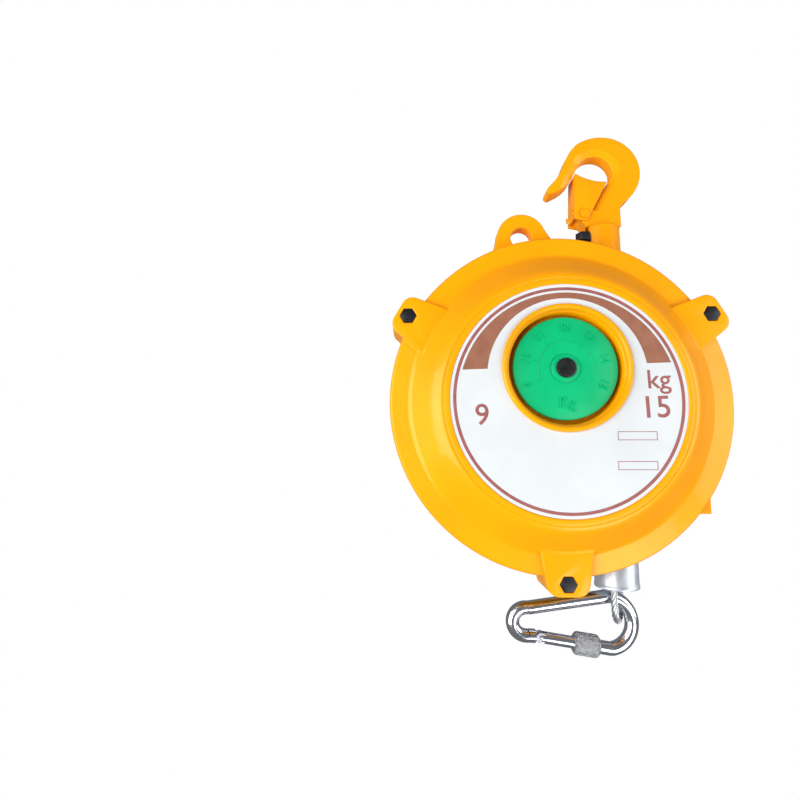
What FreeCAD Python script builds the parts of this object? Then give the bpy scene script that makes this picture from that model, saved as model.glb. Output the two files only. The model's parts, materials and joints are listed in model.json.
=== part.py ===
"""A spring tool balancer, modelled as a parametric FreeCAD document.

Two cast covers close round a conical rope drum. A flat mainspring inside the drum pulls the rope
back, a worm gear sets its tension, and a dial on the front shows it. The balancer hangs from a
swivelling safety hook, and the load hangs from a screw-lock carabiner at the end of the rope.

The row frame has its origin in the bowl of the top hook, on the swivel axis. X is to the right
seen from the dial, the dial faces -Y, and Z is up. The pieces of the case are drawn in a frame of
their own: x to the right, y up, z towards the dial, with the drum's axis at the origin and the
rope's plane at z = 0. All sizes are millimetres.
"""
import FreeCAD
import Part
import Sketcher
import math
import os
from FreeCAD import Placement, Rotation, Vector

doc = FreeCAD.newDocument("ToolBalancer")

# ---------------------------------------------------------------- driving dimensions

SIZES = {
    # the frame
    "load_offset": 42, "axis_drop": 167,
    # cast covers, radii from the drum's axis and heights from the rope's plane
    "case_radius": 95, "ring_inner": 88, "wall": 4, "flange_front": 41, "parting": 31,
    "ring_back": 21, "shoulder_radius": 82, "label_radius": 62.4, "label_front": 54.5,
    "ridge_radius": 68, "well_offset": 16.9, "well_outer": 34.3, "well_inner": 30.5,
    "well_front": 57, "well_floor": 44, "floor_thickness": 3.5,
    "lug_circle": 97.5, "lug_width": 21, "lug_reach": 104, "lug_back": 17, "lug_rise": 3, "bolt_hole": 2.6,
    "safety_circle": 101, "safety_angle": 99.6, "safety_hole": 6.5, "safety_outer": 14.5,
    "shell_angle": 150, "shell_plate": 52, "shell_back": 15, "shell_wall": 5, "shell_edge": 92,
    "pad_back": 31, "boss_radius": 17, "boss_top": 95, "boss_bottom": 50,
    "hood_back": 18, "hood_plate": 6, "hood_low": 62, "hood_high": 30, "hood_left": 30,
    "hood_right": 55, "hood_slant": 88, "arm_reach": 84, "arm_low": 62, "arm_high": 33,
    "seat_wall": 5, "seat_bore": 3.2, "guide_back": 26, "guide_length": 17,
    # drum and rope
    "rope": 4, "rope_pitch": 8, "drum_turns": 5, "groove_clearance": 0.1, "first_groove": 3.1,
    "cone_slope": 0.5, "drum_radius": 85.5, "drum_front": 27, "hub_ring": 37, "hub_back": 3,
    "hub_end": 5, "hub_radius": 16, "web_front": 14.5, "spring_room": 57, "bush_radius": 9,
    "lock_circle": 30.8, "lock_hole": 4.5,
    # axle, arbor and worm gear
    "axle_radius": 6, "running_gap": 0.05, "arbor_radius": 12, "arbor_back": 15.5,
    "wheel_seat": 9, "worm_offset": 18.4, "worm_height": 35.2, "worm_module": 0.8,
    "wheel_teeth": 36, "worm_shaft": 2.5, "journal": 7,
    # dial train
    "dial_module": 0.65, "pinion_teeth": 8, "dial_teeth": 44, "dial_radius": 28,
    "dial_front": 52, "dial_thickness": 3,
    # hook
    "bowl_radius": 12, "bowl_offset": 4, "hook_outer": 24.5, "hook_thickness": 12,
    "collar_radius": 11.6, "collar_top": 118, "stem_radius": 6, "latch_sheet": 1.1,
    "latch_x": 8.4, "latch_y": 28.7, "latch_pin": 1.8,
    # lock handle
    "lock_x": 16.5, "lock_y": 26, "lock_pin": 4, "castle_radius": 10.5, "castle_back": 33,
    "lock_bar": 2, "lock_bar_length": 56, "lock_tip": 3.5, "lock_tip_length": 12,
    # load end
    "bumper_radius": 16, "bumper_top": 62, "ferrule_top": 87, "ferrule_radius": 13,
    "ferrule_end": 109, "eye_radius": 8.7, "eye_end": 127.4, "eye_turn": 72,
    # carabiner
    "wire": 8, "wide_bend": 15.5, "small_bend": 8.2, "bend_distance": 48, "wide_x": 7.65,
    "wide_y": 129.8, "gate_start": 7, "gate_end": 42.5, "gate_wire": 7, "sleeve_radius": 6.6,
    "sleeve_length": 14.5, "knuckle": 3, "tab": 2.6, "pin": 1,
}

sheet = doc.addObject("Spreadsheet::Sheet", "Dimensions")
for row, (alias, number) in enumerate(SIZES.items(), start=1):
    sheet.set("A%d" % row, alias.replace("_", " "))
    sheet.set("B%d" % row, str(number))
    sheet.setAlias("B%d" % row, alias)
doc.recompute()


class Size:
    """A length or angle worked out from the sheet, with the formula that binds it there."""

    def __init__(self, number, formula):
        self.number = float(number)
        self.formula = formula

    def joined(self, sign, other, swap=False):
        other = other if isinstance(other, Size) else Size(other, repr(other))
        left, right = (other, self) if swap else (self, other)
        results = {"+": left.number + right.number, "-": left.number - right.number,
                   "*": left.number * right.number}
        number = results[sign] if sign in results else left.number / right.number
        return Size(number, "(%s %s %s)" % (left.formula, sign, right.formula))

    def __add__(self, other):
        return self.joined("+", other)

    def __radd__(self, other):
        return self.joined("+", other, swap=True)

    def __sub__(self, other):
        return self.joined("-", other)

    def __rsub__(self, other):
        return self.joined("-", other, swap=True)

    def __mul__(self, other):
        return self.joined("*", other)

    def __rmul__(self, other):
        return self.joined("*", other, swap=True)

    def __truediv__(self, other):
        return self.joined("/", other)

    def __neg__(self):
        return Size(-self.number, "(-1 * %s)" % self.formula)

    def __float__(self):
        return self.number


class Dimensions:
    """The sheet's cells, read by their aliases."""

    def __getattr__(self, alias):
        return Size(SIZES[alias], "Dimensions.%s" % alias)


dim = Dimensions()


def bind(target, prop, size):
    """Give a property its value, and bind it to the sheet where the value comes from there."""
    if isinstance(size, Size):
        target.setExpression(prop, size.formula)
    else:
        setattr(target, prop, size)


# ---------------------------------------------------------------- drawing helpers

CASE = Placement(Vector(-float(dim.load_offset), 0, -float(dim.axis_drop)),
                 Rotation(Vector(1, 0, 0), 90))
HOOK = Placement(Vector(-float(dim.bowl_offset), 0, -float(dim.bowl_radius)),
                 Rotation(Vector(1, 0, 0), 90))
nodes = []


class Arc:
    """A side of an outline that ends at (x, y) on an arc: positive radii turn left."""

    def __init__(self, radius, x, y):
        self.radius = radius
        self.end = (x, y)


def make_body(name, placement=CASE):
    body = doc.addObject("PartDesign::Body", name)
    body.Placement = placement
    nodes.append(body)
    return body


def make_sketch(body, plane="XY_Plane", height=0):
    """A sketch on one of the body's own planes, lifted along the plane's normal."""
    sketch = body.newObject("Sketcher::SketchObject", body.Name + "_sketch")
    support = [f for f in body.Origin.OriginFeatures if f.Role == plane][0]
    sketch.AttachmentSupport = [(support, "")]
    sketch.MapMode = "FlatFace"
    if isinstance(height, Size):
        sketch.setExpression("AttachmentOffset.Base.z", height.formula)
    else:
        sketch.AttachmentOffset = Placement(Vector(0, 0, height), Rotation())
    return sketch


def fix(sketch, kind, geometry, point, size):
    """Hold a point of the sketch at a distance from the sketch's origin."""
    index = sketch.addConstraint(Sketcher.Constraint(kind, -1, 1, geometry, point, float(size)))
    if isinstance(size, Size):
        sketch.setExpression("Constraints[%d]" % index, size.formula)


def arc_between(start, end, radius):
    """The short arc from start to end. A positive radius turns left."""
    chord = end - start
    half = chord.Length / 2
    rise = abs(radius) - math.sqrt(max(radius * radius - half * half, 0))
    side = Vector(chord.y, -chord.x, 0).normalize() * math.copysign(rise, radius)
    return Part.Arc(start, (start + end) / 2 + side, end)


def outline(sketch, *corners):
    """Draw a closed outline of straight sides and arcs, every corner bound to its sizes."""
    ends = [c.end if isinstance(c, Arc) else c for c in corners]
    places = [Vector(float(x), float(y), 0) for x, y in ends]
    first = sketch.GeometryCount
    for i, corner in enumerate(corners):
        if isinstance(corner, Arc):
            curve = arc_between(places[i - 1], places[i], float(corner.radius))
            turns_left = float(corner.radius) > 0
        else:
            curve = Part.LineSegment(places[i - 1], places[i])
            turns_left = True
        index = sketch.addGeometry(curve, False)
        end_point = 2 if turns_left else 1
        fix(sketch, "DistanceX", index, end_point, ends[i][0])
        fix(sketch, "DistanceY", index, end_point, ends[i][1])
        corners_point = (index, end_point)
        if i > 0:
            start_point = 1 if turns_left else 2
            sketch.addConstraint(Sketcher.Constraint("Coincident", *previous, index, start_point))
        else:
            opening = (index, 1 if turns_left else 2)
        previous = corners_point
        if isinstance(corner, Arc):
            radius = corner.radius if float(corner.radius) > 0 else -corner.radius
            held = sketch.addConstraint(Sketcher.Constraint("Radius", index, float(radius)))
            if isinstance(radius, Size):
                sketch.setExpression("Constraints[%d]" % held, radius.formula)
    sketch.addConstraint(Sketcher.Constraint("Coincident", *previous, *opening))
    return sketch


def circle(sketch, x, y, radius):
    """Draw a circle bound to its sizes."""
    index = sketch.addGeometry(Part.Circle(Vector(float(x), float(y), 0), Vector(0, 0, 1),
                                           float(radius)), False)
    fix(sketch, "DistanceX", index, 3, x)
    fix(sketch, "DistanceY", index, 3, y)
    held = sketch.addConstraint(Sketcher.Constraint("Radius", index, float(radius)))
    if isinstance(radius, Size):
        sketch.setExpression("Constraints[%d]" % held, radius.formula)
    return sketch


def box(sketch, x0, y0, x1, y1):
    return outline(sketch, (x0, y0), (x1, y0), (x1, y1), (x0, y1))


def hexagon(sketch, x, y, across_flats):
    """Draw a regular hexagon round a point."""
    corner_radius = across_flats / math.sqrt(3)
    corners = [(x + corner_radius * math.cos(math.radians(60 * k)),
                y + corner_radius * math.sin(math.radians(60 * k))) for k in range(6)]
    return outline(sketch, *corners)


def feature(kind, sketch, **sizes):
    """Add a feature of the sketch to its body, with each named size bound to the sheet."""
    body = sketch.getParentGeoFeatureGroup()
    added = body.newObject("PartDesign::" + kind, body.Name + "_" + kind.lower())
    added.Profile = sketch
    for prop, value in sizes.items():
        bind(added, prop, value)
    sketch.Visibility = False
    doc.recompute()
    return added


def pad(sketch, length, **options):
    return feature("Pad", sketch, Length=length, **options)


def pocket(sketch, length, **options):
    """Cut away the sketch's shape along its normal, or against it where Reversed is set."""
    options.setdefault("Reversed", True)
    return feature("Pocket", sketch, Length=length, **options)


def turned(sketch, kind="Revolution", **options):
    """Turn the sketch round the vertical line through its origin."""
    return feature(kind, sketch, ReferenceAxis=(sketch, ["V_Axis"]), **options)


def repeat_round(features, count, axis="Z_Axis"):
    """Repeat features evenly round an axis of their body."""
    body = features[0].getParentGeoFeatureGroup()
    pattern = body.newObject("PartDesign::PolarPattern", body.Name + "_pattern")
    pattern.Originals = features
    pattern.Axis = ([f for f in body.Origin.OriginFeatures if f.Role == axis][0], [""])
    pattern.Angle = 360
    pattern.Occurrences = count
    body.Tip = pattern
    doc.recompute()
    return pattern


def add_shape(name, shape, placement=CASE):
    """A piece whose shape is worked out here, where no sketch-based feature fits it."""
    piece = doc.addObject("Part::Feature", name)
    piece.Shape = shape
    piece.Placement = placement
    nodes.append(piece)
    return piece


def polar(radius, degrees):
    angle = math.radians(float(degrees))
    return radius * math.cos(angle), radius * math.sin(angle)


LUG_ANGLES = (30, 150, 270)


def draw_lug(sketch, degrees, inner):
    """A square-shouldered bolt lug on the rim, with rounded outer corners."""
    half, corner = dim.lug_width / 2, 5
    outer = dim.lug_reach
    cos, sin = polar(1, degrees)

    def at(reach, side):
        return reach * cos - side * sin, reach * sin + side * cos

    outline(sketch, at(inner, -half - 3), at(outer - corner, -half),
            Arc(corner, *at(outer, corner - half)), at(outer, half - corner),
            Arc(corner, *at(outer - corner, half)), at(inner, half + 3))


# ---------------------------------------------------------------- the case

def front_cover():
    """The bell-shaped front casting, with the round label seat and the eccentric dial well."""
    body = make_body("front_cover")
    skin = dim.label_front - dim.wall
    rim, front = dim.case_radius, dim.flange_front
    turned(outline(
        make_sketch(body, "XZ_Plane"),
        (0, skin), (dim.label_radius, skin), (dim.shoulder_radius - 3, front - dim.wall + 0.5),
        (dim.ring_inner, front - dim.wall), (dim.ring_inner, dim.parting), (rim, dim.parting),
        (rim, front - 2), Arc(2, rim - 2, front), (dim.shoulder_radius, front + 1),
        (dim.ridge_radius, dim.label_front - 1), Arc(5, dim.ridge_radius - 3.6, skin + 5),
        (dim.label_radius, skin + 5), (dim.label_radius, dim.label_front), (0, dim.label_front)))
    back = dim.well_floor - dim.floor_thickness
    pad(circle(make_sketch(body, height=back), 0, dim.well_offset, dim.well_outer),
        dim.well_front - back)
    for low in (-21, 13):
        pad(box(make_sketch(body, height=dim.parting), dim.worm_offset - 5, low,
                dim.worm_offset + 5, low + 8), skin - dim.parting + 1)
    pocket(circle(make_sketch(body, height=dim.well_floor), 0, dim.well_offset, dim.well_inner),
           dim.well_front - dim.well_floor + 1)
    pocket(circle(make_sketch(body, height=back - 1), 0, 0, dim.journal + dim.running_gap),
           dim.floor_thickness + 2)
    pocket(circle(make_sketch(body, height=back - 1), 0, dim.well_offset, 3),
           dim.floor_thickness + 2)
    pocket(circle(make_sketch(body, "XZ_Plane", height=-dim.lug_reach), dim.worm_offset,
                  dim.worm_height, dim.worm_shaft + dim.running_gap), dim.lug_reach + 22)
    lug_front = front + dim.lug_rise
    for angle in LUG_ANGLES:
        lug = make_sketch(body, height=dim.parting)
        draw_lug(lug, angle, dim.ring_inner + 0.5)
        pad(lug, lug_front - dim.parting)
        raised = make_sketch(body, height=front)
        draw_lug(raised, angle, dim.shoulder_radius - 4)
        pad(raised, dim.lug_rise)
    for angle in LUG_ANGLES:
        place = polar(dim.lug_circle, angle)
        pocket(circle(make_sketch(body, height=dim.parting - 1), *place, dim.bolt_hole), 15)
        pocket(hexagon(make_sketch(body, height=lug_front - 4.6), *place, 8.3), 6)


def rear_frame():
    """The rear casting: rim, fan-shaped shell, bearing pad, rope outlet hood and hook boss."""
    body = make_body("rear_frame")
    back, low = -dim.hood_back, -dim.hood_low
    inside = back + dim.hood_plate
    # the outlet hood: a plate with a skirt that slants out to the rim
    pad(outline(make_sketch(body, "YZ_Plane", height=-dim.hood_left), (-dim.hood_high, back),
                (low, back), (-dim.hood_slant, dim.ring_back), (-dim.hood_slant, dim.parting),
                (-dim.hood_high, dim.parting)), dim.hood_left + 72)
    pocket(outline(make_sketch(body, "YZ_Plane", height=-dim.hood_left - 1), (0, inside),
                   (low + 3, inside), (5 - dim.hood_slant, dim.ring_back),
                   (5 - dim.hood_slant, dim.parting + 1), (0, dim.parting + 1)),
           dim.hood_left + 50)
    pocket(outline(make_sketch(body, "XZ_Plane", height=0), (dim.hood_right, back - 1),
                   (dim.arm_reach, back - 1), (dim.arm_reach, dim.lug_back)), 100)
    pocket(outline(make_sketch(body, "XZ_Plane", height=0), (49, inside),
                   (dim.hood_right - 3, inside), (dim.arm_reach - 7, dim.lug_back),
                   (dim.arm_reach - 7, dim.parting + 1), (49, dim.parting + 1)),
           dim.hood_low - 5)
    rim = dim.case_radius
    turned(outline(make_sketch(body, "XZ_Plane"), (rim - 0.5, back - 1), (150, back - 1),
                   (150, dim.parting + 1), (rim - 0.5, dim.parting + 1)), "Groove")
    # the rim
    turned(outline(make_sketch(body, "XZ_Plane"), (dim.ring_inner, dim.ring_back),
                   (rim - 2, dim.ring_back), Arc(2, rim, dim.ring_back + 2), (rim, dim.parting),
                   (dim.ring_inner, dim.parting)))
    # the fan-shaped shell over the top of the drum
    plate = dim.shell_wall - dim.shell_back
    turned(outline(make_sketch(body, "YZ_Plane"), (0, plate), (dim.shell_plate - 2, plate),
                   (dim.ring_inner - 1, dim.ring_back), (rim - 1.5, dim.ring_back),
                   (dim.shell_edge, dim.lug_back), (dim.shell_plate, -dim.shell_back),
                   (0, -dim.shell_back)), Angle=dim.shell_angle, Midplane=True)
    # the raised bearing pad
    pad(outline(make_sketch(body, height=-dim.pad_back), Arc(9, -20, -33), (20.6, -33),
                Arc(8.4, 29, -24.6), (24, 1), (3.5, 23), Arc(10, -8, 19.5), (-16, 12),
                Arc(30, -23.6, -6), (-24.5, -22)), dim.pad_back + plate)
    # the arm on the load side, from the hood down to the rim
    pad(outline(make_sketch(body, "XZ_Plane", height=dim.arm_high), (40, back),
                (dim.hood_right, back), (dim.arm_reach, dim.lug_back),
                (dim.arm_reach, dim.parting), (dim.arm_reach - 8, dim.parting),
                (dim.arm_reach - 8, dim.lug_back), (dim.hood_right - 3, inside), (40, inside)),
        dim.arm_low - dim.arm_high)
    # the seat that the bumper comes up against
    load, seat = dim.load_offset, dim.hood_low - dim.seat_wall
    pad(box(make_sketch(body, "XZ_Plane", height=seat), load - 19, back, load + 19, 14),
        dim.seat_wall)
    # the hook boss
    pad(circle(make_sketch(body, "XZ_Plane", height=-dim.boss_top), load, 0, dim.boss_radius),
        dim.boss_top - dim.boss_bottom)
    # the hub of the drum lock
    pad(circle(make_sketch(body, height=plate), dim.lock_x, dim.lock_y, 16), 17, Reversed=True,
        TaperAngle=-14)
    # the scallop in the shell's edge, for a finger at the drum's lock holes
    pocket(circle(make_sketch(body, height=-dim.shell_back - 1), 37, 5, 9), 8)
    # lugs
    for angle in LUG_ANGLES:
        lug = make_sketch(body, height=dim.lug_back)
        draw_lug(lug, angle, dim.ring_inner + 2)
        pad(lug, dim.parting - dim.lug_back)
    cos, sin = polar(1, dim.safety_angle)

    def beside(reach, side):
        return reach * cos - side * sin, reach * sin + side * cos

    ear, reach = dim.safety_outer, dim.safety_circle + 3
    width = math.sqrt(float(ear) ** 2 - 9)
    pad(outline(make_sketch(body, height=dim.parting - 8), beside(dim.ring_inner + 2, -20),
                beside(reach, -width), Arc(ear, *beside(reach, width)),
                beside(dim.ring_inner + 2, 20)), 8)
    # room for the drum and the rope on it
    turned(outline(make_sketch(body, "XZ_Plane"), (0, plate + 0.2), (46, plate + 4.5),
                   (dim.drum_radius + 2, dim.lug_back - 1),
                   (dim.drum_radius + 2, dim.parting + 1), (0, dim.parting + 1)), "Groove")
    # bores
    pocket(circle(make_sketch(body, "XZ_Plane", height=dim.hood_low), load, 0,
                  dim.bumper_radius + 0.6), 40)
    pocket(circle(make_sketch(body, "XZ_Plane", height=seat - 1), load, 0, dim.seat_bore), 8)
    pocket(circle(make_sketch(body, "XZ_Plane", height=-dim.boss_top - 1), load, 0,
                  dim.stem_radius + dim.running_gap), 30)
    pocket(circle(make_sketch(body, "XZ_Plane", height=-dim.boss_top + 19), load, 0, 10), 30)
    pocket(circle(make_sketch(body, height=-dim.pad_back - 1), 0, 0, dim.axle_radius), 24)
    pocket(circle(make_sketch(body, height=-dim.pad_back - 1), 0, 0, dim.axle_radius + 0.6), 4)
    pocket(circle(make_sketch(body, height=-dim.pad_back), dim.lock_x, dim.lock_y, 8), 17)
    pocket(circle(make_sketch(body, height=-dim.pad_back), dim.lock_x, dim.lock_y,
                  dim.lock_pin + 0.3), 24)
    for angle in LUG_ANGLES:
        place = polar(dim.lug_circle, angle)
        pocket(circle(make_sketch(body, height=dim.lug_back - 1), *place, dim.bolt_hole), 16)
    pocket(circle(make_sketch(body, height=dim.parting - 9),
                  *polar(dim.safety_circle, dim.safety_angle), dim.safety_hole), 10)


def ring(name, outer, inner, bottom, top, centre=(0, 0), placement=CASE):
    """A plain ring, bush or disc whose axis is parallel to the drum's."""
    body = make_body(name, placement)
    sketch = circle(make_sketch(body, height=bottom), *centre, outer)
    if inner is not None:
        circle(sketch, *centre, inner)
    pad(sketch, top - bottom)
    return body


def label_plate():
    body = make_body("label_plate")
    sketch = circle(make_sketch(body, height=dim.label_front), 0, 0, dim.label_radius - 0.1)
    circle(sketch, 0, dim.well_offset, dim.well_outer + 0.1)
    pad(sketch, 0.5)


def cover_bolts():
    body = make_body("cover_bolts")
    body.AllowCompound = True
    head = dim.flange_front + dim.lug_rise - 4.5
    shanks = make_sketch(body, height=dim.lug_back)
    heads = make_sketch(body, height=head)
    for angle in LUG_ANGLES:
        circle(shanks, *polar(dim.lug_circle, angle), dim.bolt_hole - 0.1)
        hexagon(heads, *polar(dim.lug_circle, angle), 8)
    pad(shanks, head - dim.lug_back)
    pad(heads, 4.5)


def main_axle():
    """The fixed axle, pressed into the bearing pad, with a hexagon socket in its head."""
    body = make_body("main_axle")
    head = -dim.pad_back - 0.5
    turned(outline(make_sketch(body, "XZ_Plane"), (0, head), (dim.axle_radius + 0.5, head),
                   (dim.axle_radius + 0.5, head + 3.5), (dim.axle_radius, head + 3.5),
                   (dim.axle_radius, 37.5), (0, 37.5)))
    pocket(hexagon(make_sketch(body, height=head - 1), 0, 0, 5), 4)


def rope_guide():
    """The nylon block beside the bearing pad that keeps the rope in the drum's first groove."""
    body = make_body("rope_guide")
    back, edge = -dim.guide_back, dim.load_offset - 4.5
    pad(outline(make_sketch(body, height=back), (29, -24.6), (edge, -26.5), (edge, -13.3),
                (26.793, -13.3)), dim.guide_length)
    pad(outline(make_sketch(body, height=back - 1.2), (30.5, -24), (edge - 1.2, -24.8),
                (edge - 1.2, -15), (30.5, -15)), 1.2)


# ---------------------------------------------------------------- drum and rope

def groove_point(half_turn):
    """Where the rope's centre crosses the plane y = 0 after a number of half turns."""
    radius = dim.load_offset + half_turn * dim.rope_pitch / 2
    height = dim.first_groove + half_turn * dim.rope_pitch / 2 * dim.cone_slope
    if half_turn == 0:
        height = height * 0
    return (radius if half_turn % 2 == 0 else -radius), height


def spiral(body, section, kind):
    """Turn a round section through tilted half circles, which join into a conical spiral."""
    for half_turn in range(SIZES["drum_turns"] * 2):
        x0, z0 = groove_point(half_turn)
        x1, z1 = groove_point(half_turn + 1)
        sketch = circle(make_sketch(body, "XZ_Plane"), x0, z0, section)
        middle = Vector(float(x0 + x1) / 2, float(z0 + z1) / 2, 0)
        across = Vector(float(z0 - z1), float(x1 - x0), 0) * (1 if half_turn % 2 else -1)
        sketch.addGeometry(Part.LineSegment(middle, middle + across), True)
        feature(kind, sketch, ReferenceAxis=(sketch, ["Axis0"]), Angle=180)


def drum():
    """The cast conical drum: spiral rope groove outside, mainspring room inside."""
    body = make_body("drum")
    back = -dim.hub_back

    def land(radius):
        return dim.first_groove - 0.5 + (radius - dim.load_offset) * dim.cone_slope

    front, rim = dim.drum_front, dim.drum_radius
    turned(outline(make_sketch(body, "XZ_Plane"), (dim.bush_radius, -dim.hub_end),
                   (dim.hub_radius, -dim.hub_end), (dim.hub_radius, back), (dim.hub_ring, back),
                   (dim.hub_ring + 1.8, land(dim.hub_ring + 1.8)), (rim, land(rim)),
                   (rim, front), (rim - 8, front), (rim - 8, front - 2.4),
                   (dim.spring_room + 5, land(dim.spring_room + 5) + 5.5),
                   (dim.spring_room + 5, front), (dim.spring_room, front),
                   (dim.spring_room, dim.web_front), (dim.bush_radius, dim.web_front)))
    spiral(body, dim.rope / 2 + dim.groove_clearance, "Groove")
    pocket(box(make_sketch(body, height=front - 9), rim - 6.5, 0, rim + 2, 10.4), 10)
    x, y = polar(dim.lock_circle, 57.6)
    hole = pocket(circle(make_sketch(body, height=back - 1), x, y, dim.lock_hole), 9)
    repeat_round([hole], 6)


def rope_coil():
    spiral(make_body("rope_coil"), dim.rope / 2, "Revolution")


def rope_anchor():
    body = make_body("rope_anchor")
    rim = dim.drum_radius
    pad(box(make_sketch(body, height=dim.drum_front - 7), rim - 6.3, 0.1, rim - 0.4, 10.2), 6.8)


def mainspring():
    """The flat spiral spring, drawn as half circles of growing radius."""
    pitch, strip, width = 4.0, 1.4, 11.6
    inner, turns = 15.0, 10
    outer_side, inner_side = [], []
    floor = float(dim.web_front) + 0.3
    for side, grow in ((outer_side, strip / 2), (inner_side, -strip / 2)):
        radius, centre = inner + grow, 0.0
        for half_turn in range(turns * 2):
            way = 1 if half_turn % 2 == 0 else -1
            start = Vector(centre + way * radius, 0, floor)
            middle = Vector(centre, way * radius, floor)
            end = Vector(centre - way * radius, 0, floor)
            side.append(Part.Arc(start, middle, end).toShape())
            centre += way * pitch / 2
            radius += pitch / 2
    caps = [Part.makeLine(a.Vertexes[i].Point, b.Vertexes[i].Point)
            for a, b, i in ((outer_side[0], inner_side[0], 0),
                            (outer_side[-1], inner_side[-1], -1))]
    face = Part.Face(Part.Wire(Part.__sortEdges__(outer_side + inner_side + caps)))
    add_shape("mainspring", face.extrude(Vector(0, 0, width)))


# ---------------------------------------------------------------- tension and dial gears

def gear(body, teeth, module, bottom, width, root, tip, phase):
    """A spur gear: a root disc and one straight-flanked tooth, repeated round its centre."""
    pad(circle(make_sketch(body, height=bottom), 0, 0, root), width)
    half_root, half_tip = module * 0.30 * math.pi, module * 0.16 * math.pi
    cos, sin = polar(1, phase)
    corners = [(root - 0.2, -half_root), (tip, -half_tip), (tip, half_tip),
               (root - 0.2, half_root)]
    tooth = pad(outline(make_sketch(body, height=bottom), *[
        (reach * cos - side * sin, reach * sin + side * cos)
        for reach, side in corners]), width)
    repeat_round([tooth], teeth)


def arbor():
    """The spring arbor on the axle, with the dial pinion on its closed front end."""
    body = make_body("arbor")
    floor, back = dim.well_floor, dim.arbor_back
    turned(outline(make_sketch(body, "XZ_Plane"), (0, floor + 1), (dim.journal, floor + 1),
                   (dim.journal, floor - dim.floor_thickness - 0.3),
                   (dim.wheel_seat, floor - dim.floor_thickness - 0.3),
                   (dim.wheel_seat, 31.9), (dim.arbor_radius, 31.9), (dim.arbor_radius, back),
                   (dim.axle_radius + dim.running_gap, back),
                   (dim.axle_radius + dim.running_gap, 38), (0, 38)))


def dial_pinion():
    body = make_body("dial_pinion")
    radius = dim.dial_module * dim.pinion_teeth / 2
    gear(body, SIZES["pinion_teeth"], dim.dial_module, dim.well_floor + 1, 3.6,
         radius - dim.dial_module, radius + 0.6 * dim.dial_module, 90 + 22.5)


def dial():
    """The round tension dial with the driven gear on its back."""
    body = make_body("dial", CASE * Placement(Vector(0, float(dim.well_offset), 0), Rotation()))
    back = dim.dial_front - dim.dial_thickness
    pad(circle(make_sketch(body, height=back), 0, 0, dim.dial_radius), dim.dial_thickness)
    pad(circle(make_sketch(body, height=dim.dial_front), 0, 0, 7.5), 0.5)
    pocket(circle(make_sketch(body, height=back - 1), 0, 0, 3 + dim.running_gap), 6)


def dial_gear():
    body = make_body("dial_gear",
                     CASE * Placement(Vector(0, float(dim.well_offset), 0), Rotation()))
    radius = dim.dial_module * dim.dial_teeth / 2
    back = dim.dial_front - dim.dial_thickness
    gear(body, SIZES["dial_teeth"], dim.dial_module, back - 2.8, 2.8,
         radius - dim.dial_module, radius + 0.6 * dim.dial_module, -90)
    pocket(circle(make_sketch(body, height=back - 4), 0, 0, 3 + dim.running_gap), 6)


def dial_pivot():
    """The pin that the dial turns on, with a slotted head."""
    body = make_body("dial_pivot",
                     CASE * Placement(Vector(0, float(dim.well_offset), 0), Rotation()))
    floor, top = dim.well_floor - dim.floor_thickness, dim.dial_front + 0.7
    pad(circle(make_sketch(body, height=floor), 0, 0, 3), top - floor)
    pad(circle(make_sketch(body, height=top), 0, 0, 5.35), 1.8)
    pocket(box(make_sketch(body, height=top + 0.8), -0.7, -6, 0.7, 6), 2)


def worm_wheel():
    body = make_body("worm_wheel")
    radius = dim.worm_module * dim.wheel_teeth / 2
    gear(body, SIZES["wheel_teeth"], dim.worm_module, dim.worm_height - 3, 6,
         radius - 1.2, radius + 0.01, 0)
    pocket(circle(make_sketch(body, height=dim.worm_height - 4), 0, 0, dim.wheel_seat), 8)


def worm_screw():
    """The worm on its shaft, which reaches out through the rim."""
    body = make_body("worm_screw")
    x, z = dim.worm_offset, dim.worm_height
    pad(circle(make_sketch(body, "XZ_Plane", height=-9), x, z,
               dim.worm_offset - dim.worm_module * dim.wheel_teeth / 2 - 0.15), 18)
    pad(circle(make_sketch(body, "XZ_Plane", height=-dim.case_radius - 3), x, z,
               dim.worm_shaft), dim.case_radius + 3 + 22)


def adjusting_nut():
    """The hexagon on the worm shaft that a spanner turns."""
    body = make_body("adjusting_nut")
    x, z = dim.worm_offset, dim.worm_height
    sketch = hexagon(make_sketch(body, "XZ_Plane", height=-dim.case_radius - 4.5), x, z, 8)
    circle(sketch, x, z, dim.worm_shaft)
    pad(sketch, 4.5)


# ---------------------------------------------------------------- top hook

def top_hook():
    """The forged hook, drawn round the centre of its bowl."""
    body = make_body("top_hook", HOOK)
    bowl, outer, centre = dim.bowl_radius, dim.hook_outer, 4.6
    sketch = outline(
        make_sketch(body, height=-dim.hook_thickness / 2), (15.3, -37), (15, -25),
        Arc(-9, 19, -19.8), Arc(outer, centre + outer, 0), Arc(outer, centre, outer),
        Arc(27.5, -18.1, 13.2), Arc(-36, -26.6, -5.4), (-30.9, -9.8), Arc(2.6, -28.3, -13.9),
        (-23.6, -12.1), Arc(22, -13.7, -0.2), (-11.6, 3.1), Arc(-bowl, 0, bowl),
        Arc(-bowl, 11.9, -1.5), (8.9, -6), (-1.8, -24.4), (-8.4, -24.9),
        Arc(3.8, -11.4, -31), (-6.9, -37))
    pad(sketch, dim.hook_thickness)
    pocket(circle(make_sketch(body, height=-dim.hook_thickness), -dim.latch_x, -dim.latch_y,
                  dim.latch_pin), 30)


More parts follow.
